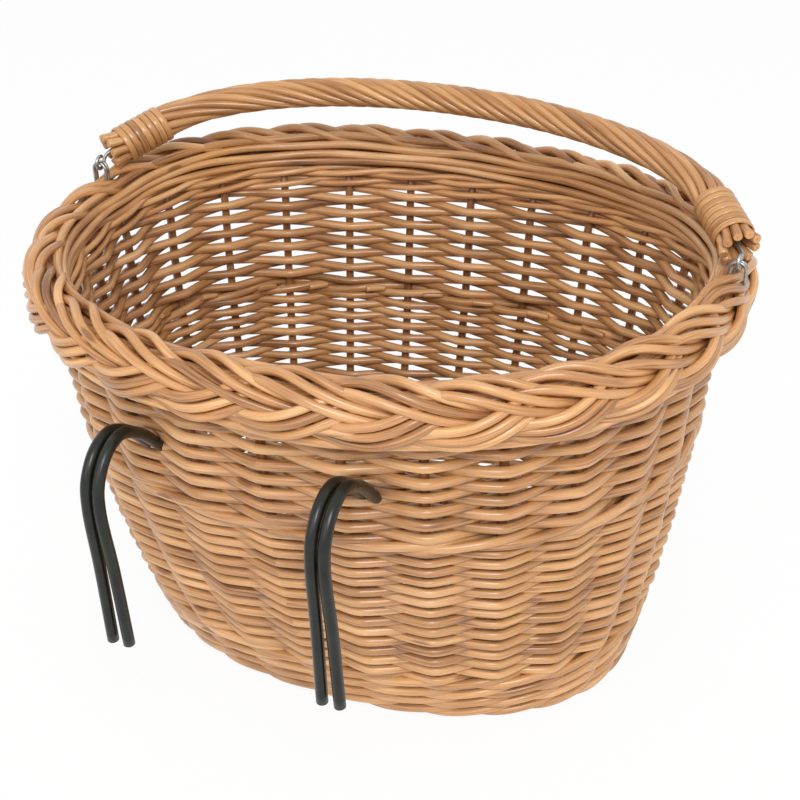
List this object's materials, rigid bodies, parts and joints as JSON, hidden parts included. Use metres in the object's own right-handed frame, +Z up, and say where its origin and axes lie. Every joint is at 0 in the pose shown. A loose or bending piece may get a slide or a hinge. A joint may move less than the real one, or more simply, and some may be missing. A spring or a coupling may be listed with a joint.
{
  "type": "bicycle handlebar basket",
  "caption": "Oval woven willow basket with flared sides, plaited border, a twisted rod carrying handle that swings on wire loops, and coated wire hooks for a bicycle handlebar.",
  "frame": {"origin": "middle of the underside of the whole part's box, on the floor plane", "axes": "+X along the oval and the handle's hinge line, +Z up, -Y towards the handlebar hooks"},
  "size_m": [0.3998, 0.3754, 0.3119],
  "materials": {
    "willow": "varnished natural willow, satin",
    "border_willow": "varnished natural willow, satin",
    "stake_willow": "darker boiled willow, satin",
    "handle_willow": "varnished natural willow, satin",
    "cane": "split cane, satin",
    "coated_wire": "near black plastic coating, glossy",
    "steel_wire": "galvanised, dull grey"
  },
  "bodies": {
    "basket": {"foot_wale": "willow", "lower_randing": "willow", "middle_wale": "willow", "upper_randing": "willow", "border_plait": "border_willow", "stake_01": "stake_willow", "stake_02": "stake_willow", "stake_03": "stake_willow", "stake_04": "stake_willow", "stake_05": "stake_willow", "stake_06": "stake_willow", "stake_07": "stake_willow", "stake_08": "stake_willow", "stake_09": "stake_willow", "stake_10": "stake_willow", "stake_11": "stake_willow", "stake_12": "stake_willow", "stake_13": "stake_willow", "stake_14": "stake_willow", "stake_15": "stake_willow", "stake_16": "stake_willow", "stake_17": "stake_willow", "stake_18": "stake_willow", "stake_19": "stake_willow", "stake_20": "stake_willow", "stake_21": "stake_willow", "stake_22": "stake_willow", "stake_23": "stake_willow", "stake_24": "stake_willow", "stake_25": "stake_willow", "stake_26": "stake_willow", "base_mat": "willow", "base_cross_stick_1": "stake_willow", "base_cross_stick_2": "stake_willow", "base_cross_stick_3": "stake_willow", "base_cross_stick_4": "stake_willow", "base_cross_stick_5": "stake_willow", "base_cross_stick_6": "stake_willow", "base_long_stick_1": "stake_willow", "base_long_stick_2": "stake_willow", "base_long_stick_3": "stake_willow", "hook_left": "coated_wire", "hook_right": "coated_wire", "loop_left": "steel_wire", "loop_right": "steel_wire"},
    "handle": {"handle_core": "handle_willow", "handle_rod_1": "handle_willow", "handle_rod_2": "handle_willow", "handle_rod_3": "handle_willow", "handle_rod_4": "handle_willow", "handle_rod_5": "handle_willow", "handle_rod_6": "handle_willow", "handle_rod_7": "handle_willow", "handle_rod_8": "handle_willow", "handle_rod_9": "handle_willow", "binding_left": "cane", "eye_left": "steel_wire", "binding_right": "cane", "eye_right": "steel_wire"}
  },
  "joints": [
    {"name": "handle_swing", "type": "hinge", "parent": "basket", "child": "handle", "pos_m": [0, 0.03988, 0.267], "axis": [1, 0, 0], "range_deg": [0, 133.7]}
  ]
}
